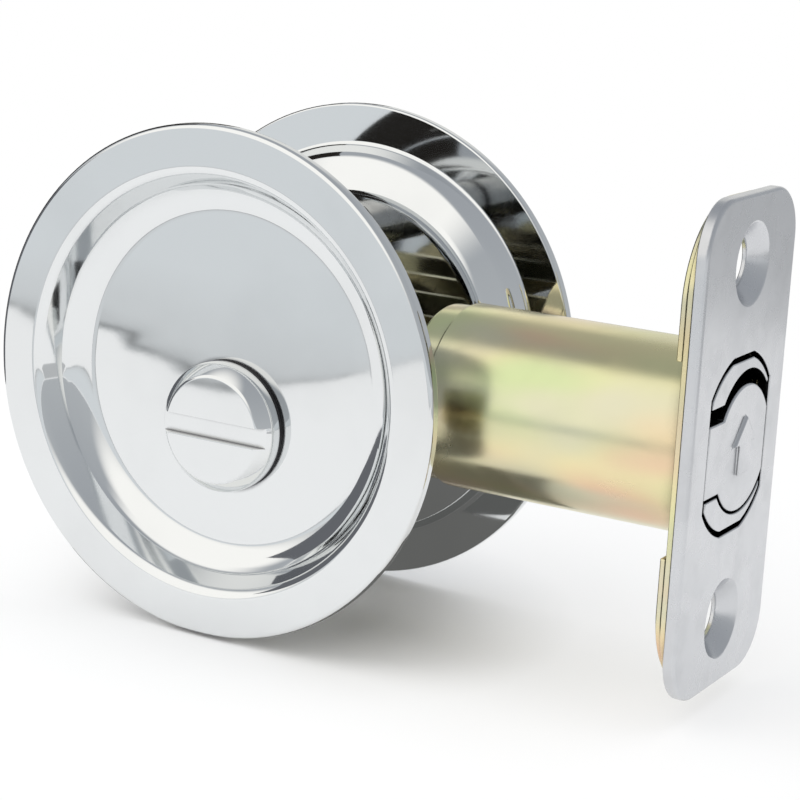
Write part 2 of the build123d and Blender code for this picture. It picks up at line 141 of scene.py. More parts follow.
class LockSizes(bpy.types.PropertyGroup):
    """Sizes of the pieces that are modelled here"""

    rose_radius: length("Rose radius", "Outer radius of the round flange", ROSE_HIGH.x)
    face_depth: length("Face depth", "Middle of the door to the outer face of a flange", -ROSE_LOW.y)
    rim_thickness: length("Rim thickness", "Thickness of the flange at its rim", 0.0016)
    lip_radius: length("Lip radius", "Where the flange turns into the cup", 0.0253)
    crease_radius: length("Crease radius", "Foot of the steep wall of the cup", 0.0237)
    step_depth: length("Step depth", "Face of the flange to the foot of the wall", 0.0032)
    floor_radius: length("Floor radius", "Edge of the flat floor of the cup", 0.0199)
    cup_depth: length("Cup depth", "Face of the flange to the floor of the cup", 0.005)
    sheet: length("Sheet", "Thickness of the drawn sheet", 0.001)
    run_fit: length("Running fit", "Gap round a turning neck", 0.00005)
    screw_hole: length("Screw hole", "Radius of the screw holes in the inside cup", 0.0022)
    neck_radius: length("Neck radius", "Radius of the neck of the button", 0.005)
    button_radius: length("Button radius", "Outer radius of the button", BUTTON_HIGH.x)
    button_bevel: length("Button bevel", "Width of the sloped rim of the button", 0.00145)
    button_height: length("Button height", "Base of the button to its face", 0.0031)
    bevel_drop: length("Bevel drop", "How far the sloped rim falls", 0.00165)
    coin_depth: length("Coin slot depth", "Depth of the slot in the button", 0.001)
    coin_width: length("Coin slot", "Width of the slot in the button", 0.0025)
    tube_wall: length("Tube wall", "Wall of the latch tube", 0.0005)
    tube_neck: length("Tube neck", "Length of the drawn-in rear end", 0.0032)


class LockColours(bpy.types.PropertyGroup):
    """Base colours of the finishes"""

    chrome: swatch("Chrome", "Bright polished plate", (0.79, 0.805, 0.81))
    satin: swatch("Satin chrome", "Satin plate of the faceplate and the bolt", (0.66, 0.67, 0.69))
    gold: swatch("Yellow zinc", "Yellow passivated zinc", (0.86, 0.765, 0.45))
    zinc: swatch("Bright zinc", "Clear zinc on the inner works", (0.50, 0.50, 0.49))
    spring: swatch("Spring steel", "Dark oiled spring steel", (0.26, 0.26, 0.28))
    black: swatch("Black plastic", "Moulded washers", (0.018, 0.018, 0.02))


# Nodes that several materials use

def math_node(nodes, operation, value=None):
    """A math node, with its second value if it is fixed."""
    node = nodes.new("ShaderNodeMath")
    node.operation = operation
    if value is not None:
        node.inputs[1].default_value = value
    return node


def range_node(nodes, low, high):
    """A range node that takes in the values between low and high."""
    node = nodes.new("ShaderNodeMapRange")
    node.inputs["From Min"].default_value = low
    node.inputs["From Max"].default_value = high
    return node


def soft_step(nodes, low, high):
    """A soft step from nought to one between two values."""
    node = range_node(nodes, low, high)
    node.interpolation_type = "SMOOTHSTEP"
    return node


def colour_mix(nodes):
    """A mix of two colours."""
    node = nodes.new("ShaderNodeMix")
    node.data_type = "RGBA"
    return node


def seen_rays(nodes, links):
    """One for rays that the eye, metal or glass sees, nought for plain light."""
    path = nodes.new("ShaderNodeLightPath")
    metal = math_node(nodes, "MAXIMUM")
    links.new(path.outputs["Is Camera Ray"], metal.inputs[0])
    links.new(path.outputs["Is Glossy Ray"], metal.inputs[1])
    glass = math_node(nodes, "MAXIMUM")
    links.new(metal.outputs[0], glass.inputs[0])
    links.new(path.outputs["Is Transmission Ray"], glass.inputs[1])
    return glass.outputs[0]


# Shader groups that several finishes share

def new_group(name):
    """An empty shader group with its end nodes."""
    group = bpy.data.node_groups.new(name, "ShaderNodeTree")
    return group, group.nodes.new("NodeGroupInput"), group.nodes.new("NodeGroupOutput")


def socket(group, name, kind, way, value=None):
    """One named socket on a shader group."""
    item = group.interface.new_socket(name=name, in_out=way, socket_type=kind)
    if value is not None:
        item.default_value = value


def patch_group():
    """Soft patches between two tones, such as the cloudy tint of a plated sheet."""
    group, start, end = new_group("tone_patches")
    socket(group, "Vector", "NodeSocketVector", "INPUT")
    socket(group, "Tone", "NodeSocketColor", "INPUT", (0.8, 0.8, 0.8, 1))
    socket(group, "Patch", "NodeSocketColor", "INPUT", (0.6, 0.6, 0.6, 1))
    socket(group, "Scale", "NodeSocketFloat", "INPUT", 60.0)
    socket(group, "Low", "NodeSocketFloat", "INPUT", 0.45)
    socket(group, "High", "NodeSocketFloat", "INPUT", 0.7)
    socket(group, "Detail", "NodeSocketFloat", "INPUT", 4.0)
    socket(group, "Color", "NodeSocketColor", "OUTPUT")
    nodes, links = group.nodes, group.links
    noise = nodes.new("ShaderNodeTexNoise")
    noise.inputs["Roughness"].default_value = 0.55
    links.new(start.outputs["Vector"], noise.inputs["Vector"])
    links.new(start.outputs["Scale"], noise.inputs["Scale"])
    links.new(start.outputs["Detail"], noise.inputs["Detail"])
    ramp = soft_step(nodes, 0.0, 1.0)
    links.new(noise.outputs["Fac"], ramp.inputs["Value"])
    links.new(start.outputs["Low"], ramp.inputs["From Min"])
    links.new(start.outputs["High"], ramp.inputs["From Max"])
    mix = colour_mix(nodes)
    links.new(ramp.outputs["Result"], mix.inputs["Factor"])
    links.new(start.outputs["Tone"], mix.inputs[MIX_A])
    links.new(start.outputs["Patch"], mix.inputs[MIX_B])
    links.new(mix.outputs[MIX_OUT], end.inputs["Color"])


def hairline_group():
    """Fine lines drawn out along one direction, as a brush or a die leaves them."""
    group, start, end = new_group("hairlines")
    socket(group, "Vector", "NodeSocketVector", "INPUT")
    socket(group, "Stretch", "NodeSocketVector", "INPUT", (1.0, 1.0, 1.0))
    socket(group, "Scale", "NodeSocketFloat", "INPUT", 900.0)
    socket(group, "Lines", "NodeSocketFloat", "OUTPUT")
    nodes, links = group.nodes, group.links
    pull = nodes.new("ShaderNodeVectorMath")
    pull.operation = "MULTIPLY"
    links.new(start.outputs["Vector"], pull.inputs[0])
    links.new(start.outputs["Stretch"], pull.inputs[1])
    noise = nodes.new("ShaderNodeTexNoise")
    noise.inputs["Detail"].default_value = 3.0
    noise.inputs["Roughness"].default_value = 0.7
    links.new(pull.outputs["Vector"], noise.inputs["Vector"])
    links.new(start.outputs["Scale"], noise.inputs["Scale"])
    links.new(noise.outputs["Fac"], end.inputs["Lines"])


def handling_group():
    """Roughness of a surface that has been handled: smooth, with faint cloudy smears."""
    group, start, end = new_group("handling")
    socket(group, "Vector", "NodeSocketVector", "INPUT")
    socket(group, "Smooth", "NodeSocketFloat", "INPUT", 0.05)
    socket(group, "Smeared", "NodeSocketFloat", "INPUT", 0.12)
    socket(group, "Scale", "NodeSocketFloat", "INPUT", 90.0)
    socket(group, "Roughness", "NodeSocketFloat", "OUTPUT")
    nodes, links = group.nodes, group.links
    noise = nodes.new("ShaderNodeTexNoise")
    noise.inputs["Detail"].default_value = 5.0
    noise.inputs["Distortion"].default_value = 0.6
    links.new(start.outputs["Vector"], noise.inputs["Vector"])
    links.new(start.outputs["Scale"], noise.inputs["Scale"])
    ramp = range_node(nodes, 0.35, 0.75)
    links.new(noise.outputs["Fac"], ramp.inputs["Value"])
    links.new(start.outputs["Smooth"], ramp.inputs["To Min"])
    links.new(start.outputs["Smeared"], ramp.inputs["To Max"])
    links.new(ramp.outputs["Result"], end.inputs["Roughness"])


# Finishes

class Finish:
    """A material under construction: its nodes, and the shared groups placed in it."""

    def __init__(self, name, metallic):
        material = bpy.data.materials.new(name)
        material.use_nodes = True
        self.nodes = material.node_tree.nodes
        self.links = material.node_tree.links
        self.shader = self.nodes["Principled BSDF"]
        self.shader.inputs["Metallic"].default_value = metallic
        self.place = self.nodes.new("ShaderNodeTexCoord").outputs["Object"]

    def group(self, name, **values):
        """Places a shared group and sets its inputs."""
        node = self.nodes.new("ShaderNodeGroup")
        node.node_tree = bpy.data.node_groups[name]
        self.links.new(self.place, node.inputs["Vector"])
        for key, value in values.items():
            node.inputs[key.capitalize()].default_value = value
        return node

    def feed(self, output, name):
        """Links an output to one of the shader's own sockets."""
        self.links.new(output, self.shader.inputs[name])

    def handled(self, smooth, smeared, scale):
        """Roughness of a handled surface."""
        smear = self.group("handling", smooth=smooth, smeared=smeared, scale=scale)
        self.feed(smear.outputs["Roughness"], "Roughness")

    def lined(self, stretch, scale, strength, distance):
        """Fine relief on the shader's normal."""
        lines = self.group("hairlines", stretch=stretch, scale=scale)
        relief = self.nodes.new("ShaderNodeBump")
        relief.inputs["Strength"].default_value = strength
        relief.inputs["Distance"].default_value = distance
        self.links.new(lines.outputs["Lines"], relief.inputs["Height"])
        self.feed(relief.outputs["Normal"], "Normal")

    def painted_recess_shade(self, tone, depth, dark):
        """Painted shade: base colour that darkens deep between close walls, found by an occlusion node."""
        shade = self.nodes.new("ShaderNodeAmbientOcclusion")
        shade.samples = 8
        shade.inputs["Distance"].default_value = depth
        ramp = soft_step(self.nodes, low=0.45, high=0.85)
        self.links.new(shade.outputs["AO"], ramp.inputs["Value"])
        mix = colour_mix(self.nodes)
        mix.inputs[MIX_A].default_value = dark
        self.links.new(ramp.outputs["Result"], mix.inputs["Factor"])
        self.links.new(tone, mix.inputs[MIX_B])
        self.feed(mix.outputs[MIX_OUT], "Base Color")


def colour(value, gain=1.0):
    """A colour with its alpha."""
    return tuple(min(1.0, c * gain) for c in value) + (1.0,)


def chrome_finish(tint):
    """Bright plate: almost a mirror, with faint smears and a trace of orange peel."""
    finish = Finish("mirror_plate", 1.0)
    tone = finish.group("tone_patches", tone=colour(tint), patch=colour(tint, 0.95), scale=45.0)
    # Painted shade: darker base colour in narrow gaps, such as round the button's foot and on the cup floor
    # near it.
    finish.painted_recess_shade(tone.outputs["Color"], depth=0.0009, dark=(0.24, 0.24, 0.25, 1))
    finish.handled(smooth=0.035, smeared=0.075, scale=70.0)
    finish.lined(stretch=(1.0, 1.0, 1.0), scale=260.0, strength=0.06, distance=0.00002)


def satin_finish(tint):
    """Satin plate: fine drawn lines along the length of the plate."""
    finish = Finish("satin_plate", 1.0)
    tone = finish.group("tone_patches", tone=colour(tint), patch=colour(tint, 0.93), scale=180.0)
    # Painted shade: near-black base colour deep in the bolt's mouth and between the claws and the nose.
    finish.painted_recess_shade(tone.outputs["Color"], depth=0.004, dark=(0.02, 0.02, 0.021, 1))
    finish.handled(smooth=0.24, smeared=0.36, scale=240.0)
    finish.lined(stretch=(1.0, 1.0, 0.06), scale=2600.0, strength=0.22, distance=0.00004)


def gold_finish(tint):
    """Yellow passivated zinc: straw, rose, green and grey patches drawn out along the tube."""
    finish = Finish("straw_zinc", 1.0)
    along = finish.nodes.new("ShaderNodeMapping")
    along.inputs["Scale"].default_value = (0.45, 1.0, 1.0)
    finish.links.new(finish.place, along.inputs["Vector"])
    soft = {"low": 0.40, "high": 0.74, "detail": 1.0}
    rose = finish.group("tone_patches", tone=colour(tint), patch=(0.87, 0.57, 0.41, 1), scale=105.0, **soft)
    green = finish.group("tone_patches", patch=(0.64, 0.72, 0.40, 1), scale=80.0, **soft)
    grey = finish.group("tone_patches", patch=(0.70, 0.68, 0.50, 1), scale=130.0, **soft)
    for patch in (rose, green, grey):
        finish.links.new(along.outputs["Vector"], patch.inputs["Vector"])
    finish.links.new(rose.outputs["Color"], green.inputs["Tone"])
    finish.links.new(green.outputs["Color"], grey.inputs["Tone"])
    # Painted shade: near-black base colour deep inside the tube and between close walls.
    finish.painted_recess_shade(grey.outputs["Color"], depth=0.004, dark=(0.035, 0.028, 0.014, 1))
    finish.handled(smooth=0.16, smeared=0.30, scale=160.0)
    finish.lined(stretch=(0.12, 1.0, 1.0), scale=1500.0, strength=0.12, distance=0.00003)


def steel_finish(name, tint, smooth, smeared):
    """Plain plated or oiled steel of the inner works."""
    finish = Finish(name, 1.0)
    tone = finish.group("tone_patches", tone=colour(tint), patch=colour(tint, 0.8), scale=220.0)
    # Painted shade: near-black base colour deep between the close walls of the inner works.
    finish.painted_recess_shade(tone.outputs["Color"], depth=0.004, dark=(0.02, 0.02, 0.02, 1))
    finish.handled(smooth=smooth, smeared=smeared, scale=300.0)
    finish.lined(stretch=(1.0, 0.2, 1.0), scale=1800.0, strength=0.15, distance=0.00003)


def plastic_finish(tint):
    """Moulded black plastic with a fine matt grain."""
    finish = Finish("moulded_black", 0.0)
    tone = finish.group("tone_patches", tone=colour(tint), patch=colour(tint, 1.8), scale=400.0)
    finish.feed(tone.outputs["Color"], "Base Color")
    finish.handled(smooth=0.42, smeared=0.6, scale=500.0)
    finish.lined(stretch=(1.0, 1.0, 1.0), scale=5000.0, strength=0.2, distance=0.00003)


def paint(piece, slot):
    """Gives a piece the finish of its slot."""
    piece.data.materials.clear()
    piece.data.materials.append(bpy.data.materials[FINISHES[slot]])


# Modelling helpers

def spin_outline(bm, outline):
    """Spins a closed half section, given in radius and height along Y, round the Y axis."""
    verts = [bm.verts.new((r, y, 0.0)) for r, y in outline]
    edges = [bm.edges.new((verts[i - 1], verts[i])) for i in range(len(verts))]
    bmesh.ops.spin(
        bm, geom=verts + edges, cent=(0, 0, 0), axis=(0, 1, 0), dvec=(0, 0, 0),
        angle=2 * math.pi, steps=SPIN_STEPS, use_merge=True,
    )
    bmesh.ops.remove_doubles(bm, verts=bm.verts, dist=MERGE)
    bmesh.ops.recalc_face_normals(bm, faces=bm.faces)


def round_edges(bm, chosen, width, segments):
    """Rounds the edges whose two ends are both chosen by a test."""
    edges = [e for e in bm.edges if chosen(e.verts[0].co) and chosen(e.verts[1].co)]
    bmesh.ops.bevel(
        bm, geom=edges, offset=width, offset_type="OFFSET", affect="EDGES",
        segments=segments, profile=0.5, material=-1,
    )


def round_ring(bm, radius, y, width, segments):
    """Rounds the circular edge at one radius and height."""
    def on_ring(co):
        return abs(math.hypot(co.x, co.z) - radius) < NEAR and abs(co.y - y) < NEAR

    round_edges(bm, on_ring, width, segments)


def round_slot(bm, half, y, width):
    """Rounds the two long edges of a slot where it opens in a face."""
    def on_lip(co):
        return abs(abs(co.z) - half) < NEAR and abs(co.y - y) < NEAR

    round_edges(bm, on_lip, width, 2)
    drop_slivers(bm, width / 5)


def round_front(bm, width):
    """Rounds the outline of the foremost flat face."""
    front = max(v.co.x for v in bm.verts)

    def on_front(co):
        return front - co.x < NEAR

    round_edges(bm, on_front, width, 3)


def drop_slivers(bm, reach):
    """Merges points that nearly meet and drops faces with no area."""
    bmesh.ops.remove_doubles(bm, verts=bm.verts, dist=reach)
    bmesh.ops.dissolve_degenerate(bm, edges=bm.edges, dist=reach)


def join_flats(bm):
    """Joins the faces of each flat side into one."""
    bmesh.ops.dissolve_limit(bm, angle_limit=FLAT_ANGLE, verts=bm.verts, edges=bm.edges, delimit=set())


def box_tool(low, high):
    """A box between two corners."""
    tool = bmesh.new()
    middle = (Vector(low) + Vector(high)) / 2
    size = Vector(high) - Vector(low)
    bmesh.ops.create_cube(tool, size=1.0, matrix=Matrix.Translation(middle) @ Matrix.Diagonal(size).to_4x4())
    return tool


def drill_tool(radius, z, y):
    """A short round bar along Y, centred at a height z and a depth y."""
    tool = bmesh.new()
    lie = Matrix.Translation((0, y, z)) @ Matrix.Rotation(math.pi / 2, 4, "X")
    bmesh.ops.create_cone(
        tool, cap_ends=True, segments=DRILL_STEPS, radius1=radius, radius2=radius,
        depth=2 * DRILL_REACH, matrix=lie,
    )
    return tool


def cut_away(bm, tool):
    """Takes one solid bmesh out of another and frees the tool."""
    solid = bpy.data.meshes.new("solid")
    bm.to_mesh(solid)
    bm.clear()
    cutter_mesh = bpy.data.meshes.new("cutter")
    tool.to_mesh(cutter_mesh)
    tool.free()
    block = bpy.data.objects.new("block", solid)
    cutter = bpy.data.objects.new("cutter", cutter_mesh)
    for thing in (block, cutter):
        bpy.context.scene.collection.objects.link(thing)
    cut = block.modifiers.new("cut", "BOOLEAN")
    cut.operation = "DIFFERENCE"
    cut.solver = "EXACT"
    cut.object = cutter
    result = bpy.data.meshes.new_from_object(block.evaluated_get(bpy.context.evaluated_depsgraph_get()))
    bm.from_mesh(result)
    drop_slivers(bm, MERGE)
    for thing in (block, cutter):
        bpy.data.objects.remove(thing)


def soften(piece, width):
    """A narrow live bevel on the sharp edges of a piece."""
    soft = piece.modifiers.new("edges", "BEVEL")
    soft.width = width
    soft.segments = 2
    soft.limit_method = "ANGLE"
    soft.angle_limit = BEVEL_ANGLE
    soft.use_clamp_overlap = False


def finish_piece(bm, name, body, slot, node, edge=0.0):
    """Turns a bmesh into a smooth piece that stands for a node of the frame."""
    mesh = bpy.data.meshes.new(name)
    bm.to_mesh(mesh)
    bm.free()
    piece = bpy.data.objects.new(name, mesh)
    bpy.context.scene.collection.objects.link(piece)
    mesh.shade_smooth()
    mesh.set_sharp_from_angle(angle=SMOOTH_ANGLE)
    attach(piece, body)
    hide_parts(node)
    paint(piece, slot)
    if edge:
        soften(piece, edge)
    shading = piece.modifiers.new("shading", "WEIGHTED_NORMAL")
    shading.keep_sharp = True


# Operators

class LOCK_OT_finishes(bpy.types.Operator):
    """Makes the shared shader groups and the finishes of the lock"""

    bl_idname = "lock.finishes"
    bl_label = "Finishes"

    def execute(self, context):
        colours = context.scene.lock_colours
        patch_group()
        hairline_group()
        handling_group()
        chrome_finish(colours.chrome)
        satin_finish(colours.satin)
        gold_finish(colours.gold)
        steel_finish("clear_zinc", colours.zinc, smooth=0.2, smeared=0.34)
        steel_finish("oiled_steel", colours.spring, smooth=0.25, smeared=0.42)
        plastic_finish(colours.black)
        return {"FINISHED"}


class LOCK_OT_works(bpy.types.Operator):
    """Gives every built piece the finish of its slot"""

    bl_idname = "lock.works"
    bl_label = "Built pieces"

    def execute(self, context):
        for part in frame["record"]["subparts"]:
            paint(frame["nodes"][part["node"]], part["material_slot"])
        return {"FINISHED"}


class LOCK_OT_edges(bpy.types.Operator):
    """Copies the pieces whose worn, rounded edges catch the light, and rounds them"""

    bl_idname = "lock.edges"
    bl_label = "Plates, bolt, claws, turn and screws"

    def execute(self, context):
        # Node, piece, body, slot, width of the edge, and whether only the front is rounded
        plan = (
            ("faceplate", "faceplate_skin", "lock_case", "satin_chrome", 0.00012, False),
            ("backing_plate", "backing_skin", "lock_case", "yellow_zinc", 0.00012, False),
            ("mounting_ears", "ear_skin", "lock_case", "yellow_zinc", 0.0002, False),
            ("bolt_nose", "nose_skin", "bolt", "satin_chrome", 0.0002, False),
            ("upper_claw", "upper_claw_skin", "upper_claw", "satin_chrome", CLAW_EDGE, True),
            ("lower_claw", "lower_claw_skin", "lower_claw", "satin_chrome", CLAW_EDGE, True),
            ("inside_turn", "thumb_turn", "turn", "chrome", 0.00015, False),
            ("through_screws", "screw_heads", "lock_case", "bright_zinc", 0.0001, False),
        )
        for node, name, body, slot, width, front_only in plan:
            bm = bmesh.new()
            bm.from_mesh(frame["nodes"][node].data)
            bmesh.ops.remove_doubles(bm, verts=bm.verts, dist=MERGE)
            join_flats(bm)
            if front_only:
                round_front(bm, width)
                finish_piece(bm, name, body, slot, node)
            else:
                finish_piece(bm, name, body, slot, node, edge=width)
        return {"FINISHED"}


class LOCK_OT_roses(bpy.types.Operator):
    """Spins the two round flush cups and drills them"""

    bl_idname = "lock.roses"
    bl_label = "Roses"

    def execute(self, context):
        s = context.scene.lock_sizes
        turn_in_reach = 0.0019
        root_reach = 0.0005
        waist_drop = 0.0004
        heel_reach = 0.0012
        floor = s.face_depth - s.cup_depth
        turn_in = (s.floor_radius + turn_in_reach, floor)
        crease = (s.crease_radius, s.face_depth - s.step_depth)
        lip = (s.lip_radius, s.face_depth)
        rim = (s.rose_radius, s.face_depth)
        rim_back = (s.rose_radius, s.face_depth - s.rim_thickness)
        root = (s.lip_radius + root_reach, s.face_depth - s.rim_thickness)
        waist = (s.crease_radius + s.sheet, s.face_depth - s.step_depth - waist_drop)
        heel = (s.floor_radius + heel_reach, floor - s.sheet)
        outline = [
            (0.0, floor), turn_in, crease, lip, rim,
            rim_back, root, waist, heel, (0.0, floor - s.sheet),
        ]
        # Corner of the outline, width of its rounding and steps round it
        rounds = (
            (turn_in, 0.0018, 10), (crease, 0.0003, 4), (lip, 0.0009, 8), (rim, 0.0006, 6),
            (rim_back, 0.0003, 4), (root, 0.0004, 4), (waist, 0.0006, 6), (heel, 0.0012, 8),
        )
        for name, side in (("outside_rose", -1), ("inside_rose", 1)):
            bm = bmesh.new()
            spin_outline(bm, [(r, side * y) for r, y in outline])
            for (radius, y), width, segments in rounds:
                round_ring(bm, radius, side * y, width, segments)
            cut_away(bm, drill_tool(s.neck_radius + s.run_fit, TURN_Z, side * floor))
            if name == "inside_rose":
                for z in (-SCREW_Z, SCREW_Z):
                    cut_away(bm, drill_tool(s.screw_hole, z, side * floor))
            finish_piece(bm, name + "_cup", "lock_case", "chrome", name)
        return {"FINISHED"}


class LOCK_OT_button(bpy.types.Operator):
    """Spins the outside button and cuts its coin slot"""

    bl_idname = "lock.button"
    bl_label = "Button"

    def execute(self, context):
        s = context.scene.lock_sizes
        face_edge = 0.00025
        shoulder_edge = 0.00035
        base_edge = 0.0002
        slot_reach = 0.02
        slot_above = 0.002
        face = -BUTTON_LOW.y
        base = face - s.button_height
        shoulder = face - s.bevel_drop
        face_radius = s.button_radius - s.button_bevel
        outline = [
            (0.0, face), (face_radius, face), (s.button_radius, shoulder), (s.button_radius, base),
            (s.neck_radius, base), (s.neck_radius, -BUTTON_HIGH.y), (0.0, -BUTTON_HIGH.y),
        ]
        bm = bmesh.new()
        spin_outline(bm, [(r, -y) for r, y in outline])
        round_ring(bm, face_radius, -face, face_edge, 4)
        round_ring(bm, s.button_radius, -shoulder, shoulder_edge, 5)
        round_ring(bm, s.button_radius, -base, base_edge, 3)
        half = s.coin_width / 2
        slot_low = (-slot_reach, -face - slot_above, -half)
        slot_high = (slot_reach, -face + s.coin_depth, half)
        cut_away(bm, box_tool(slot_low, slot_high))
        join_flats(bm)
        round_slot(bm, half, -face, SLOT_EDGE)
        bmesh.ops.translate(bm, verts=bm.verts, vec=(0, 0, TURN_Z))
        finish_piece(bm, "coin_button", "turn", "chrome", "outside_button")
        return {"FINISHED"}


class LOCK_OT_tube(bpy.types.Operator):
    """Spins the latch tube with its drawn-in rear end"""

    bl_idname = "lock.tube"
    bl_label = "Latch tube"

    def execute(self, context):
        s = context.scene.lock_sizes
        lip_width = 0.0009
        lip_reach = 0.001
        shoulder_edge = 0.0003
        rear_edge = 0.0005
        radius, rear, front = TUBE_HIGH.z, TUBE_LOW.x, TUBE_HIGH.x
        inner = radius - s.tube_wall
        shoulder = rear + s.tube_neck
        lip = inner - lip_width
        lip_end = shoulder + lip_reach
        outline = [
            (lip, rear), (inner, rear), (inner, shoulder), (radius, shoulder),
            (radius, front), (inner, front), (inner, lip_end), (lip, lip_end),
        ]
        bm = bmesh.new()
        spin_outline(bm, outline)
        round_ring(bm, radius, shoulder, shoulder_edge, 5)
        round_ring(bm, inner, rear, rear_edge, 6)
        bmesh.ops.rotate(bm, verts=bm.verts, cent=(0, 0, 0), matrix=Matrix.Rotation(-math.pi / 2, 3, "Z"))
        finish_piece(bm, "tube_shell", "lock_case", "yellow_zinc", "latch_tube")
        return {"FINISHED"}


class LOCK_OT_stage(bpy.types.Operator):
    """Floor, sky, cards and flags for the metal to mirror, lamps and the camera"""

    bl_idname = "lock.stage"
    bl_label = "Stage"

    def execute(self, context):
        scene = context.scene
        self.floor()
        self.sky(scene)
        self.front_card()
        self.card("right_card", (0.20, -0.150), (1.8, 1.6), PALE_CARD)
        self.card("left_card", (-1.8, -0.120), (-0.22, 1.6), GREY_CARD)
        self.card("back_card", (-0.22, 0.22), (0.20, 1.6), PALE_CARD)
        # Painted shadow: a dark card under the lock, seen only in the metal, stands for the floor's shade
        # there.
        self.card("under_card", (-0.03, -0.0165), (0.03, 0.0165), SHADED_FLOOR)
        self.flag("high_flag", (-0.02, 0.10), 0.17, SOOT)
        self.flag("front_flag", (-0.115, -0.02), 0.04, SLATE)
        self.flag("rear_flag", (-0.02, 0.24), 0.075, SOOT)
        self.lamp("key", (-0.40, -0.25, 0.66), (0, 0, 0), size=0.9, power=4.0)
        self.lamp("top", (0.25, 0.20, 0.85), (0.02, 0, 0), size=0.6, power=2.0)
        self.camera(scene)
        scene.view_settings.view_transform = "Standard"
        return {"FINISHED"}

    def sheet(self, name, low, high, z):
        """A flat stage sheet between two corners."""
        bm = bmesh.new()
        size = (high[0] - low[0], high[1] - low[1], 1.0)
        middle = ((low[0] + high[0]) / 2, (low[1] + high[1]) / 2, z)
        bmesh.ops.create_grid(bm, x_segments=1, y_segments=1, size=0.5)
        bmesh.ops.scale(bm, verts=bm.verts, vec=size)
        bmesh.ops.translate(bm, verts=bm.verts, vec=middle)
        mesh = bpy.data.meshes.new(name)
        bm.to_mesh(mesh)
        bm.free()
        thing = bpy.data.objects.new(name, mesh)
        bpy.context.scene.collection.objects.link(thing)
        material = bpy.data.materials.new(name)
        material.use_nodes = True
        mesh.materials.append(material)
        return thing, material.node_tree

    def mirror_only(self, thing):
        """Hides a card from all but the polished metal."""
        thing.visible_camera = False
        thing.visible_diffuse = False
        thing.visible_shadow = False

    def glow(self, tree, tone):
        """An even tone on a card."""
        glow = tree.nodes.new("ShaderNodeEmission")
        glow.inputs["Color"].default_value = tone + (1.0,)
        tree.links.new(glow.outputs["Emission"], tree.nodes["Material Output"].inputs["Surface"])

    def card(self, name, low, high, tone):
        """A grey card on the floor."""
        thing, tree = self.sheet(name, low, high, CARD_Z)
        self.mirror_only(thing)
        self.glow(tree, tone)

    def flag(self, name, reach, height, tone):
        """A dark card that stands beside the lock."""
        thing, tree = self.sheet(name, (FLOOR_Z, reach[0]), (height, reach[1]), -FLAG_X)
        thing.data.transform(Matrix.Rotation(-math.pi / 2, 4, "Y"))
        self.mirror_only(thing)
        self.glow(tree, tone)

    def front_card(self):
        """A grey sheet that lies in front, with a curled and shaded edge."""
        thing, tree = self.sheet("front_card", (-1.6, -1.8), (1.6, -0.10), CARD_Z)
        self.mirror_only(thing)
        nodes, links = tree.nodes, tree.links
        place = nodes.new("ShaderNodeTexCoord").outputs["Object"]
        parts = nodes.new("ShaderNodeSeparateXYZ")
        links.new(place, parts.inputs["Vector"])
        # How far the edge reaches towards the lock, from left to right
        across = range_node(nodes, -0.30, 0.10)
        links.new(parts.outputs["X"], across.inputs["Value"])
        outline = nodes.new("ShaderNodeFloatCurve")
        edge = outline.mapping.curves[0].points
        edge[0].location = (0.0, 0.35)
        edge[-1].location = (1.0, 0.0)
        rise = ((0.38, 0.45), (0.46, 0.57), (0.51, 0.70), (0.565, 0.77))
        fall = ((0.59, 0.72), (0.605, 0.45), (0.62, 0.15))
        for spot in rise + fall:
            edge.new(*spot)
        outline.mapping.update()
        links.new(across.outputs["Result"], outline.inputs["Value"])
        # Distance past that edge, with a slight sway
        depth = range_node(nodes, -0.20, -0.10)
        depth.clamp = False
        links.new(parts.outputs["Y"], depth.inputs["Value"])
        waves = nodes.new("ShaderNodeTexNoise")
        waves.inputs["Scale"].default_value = 70.0
        links.new(place, waves.inputs["Vector"])
        sway = math_node(nodes, "MULTIPLY_ADD", 0.12)
        sway.inputs[2].default_value = 0.44
        links.new(waves.outputs["Fac"], sway.inputs[0])
        past = math_node(nodes, "SUBTRACT")
        links.new(depth.outputs["Result"], past.inputs[0])
        links.new(outline.outputs["Value"], past.inputs[1])
        swayed = math_node(nodes, "ADD")
        links.new(past.outputs[0], swayed.inputs[0])
        links.new(sway.outputs[0], swayed.inputs[1])
        # Tones from the sheet over its dark edge to clear
        ramp = nodes.new("ShaderNodeValToRGB")
        tones = ramp.color_ramp.elements
        tones[0].position = 0.0
        tones[0].color = (0.76, 0.79, 0.81, 1)
        tones[1].position = 0.53
        tones[1].color = (0.70, 0.71, 0.72, 0)
        for position, tone in ((0.40, 0.70), (0.46, 0.60), (0.485, 0.24), (0.51, 0.55)):
            tones.new(position).color = (tone, tone * 1.03, tone * 1.05, 1)
        links.new(swayed.outputs[0], ramp.inputs["Fac"])
        glow = nodes.new("ShaderNodeEmission")
        links.new(ramp.outputs["Color"], glow.inputs["Color"])
        clear = nodes.new("ShaderNodeBsdfTransparent")
        mix = nodes.new("ShaderNodeMixShader")
        links.new(ramp.outputs["Alpha"], mix.inputs["Fac"])
        links.new(clear.outputs["BSDF"], mix.inputs[1])
        links.new(glow.outputs["Emission"], mix.inputs[2])
        links.new(mix.outputs["Shader"], nodes["Material Output"].inputs["Surface"])

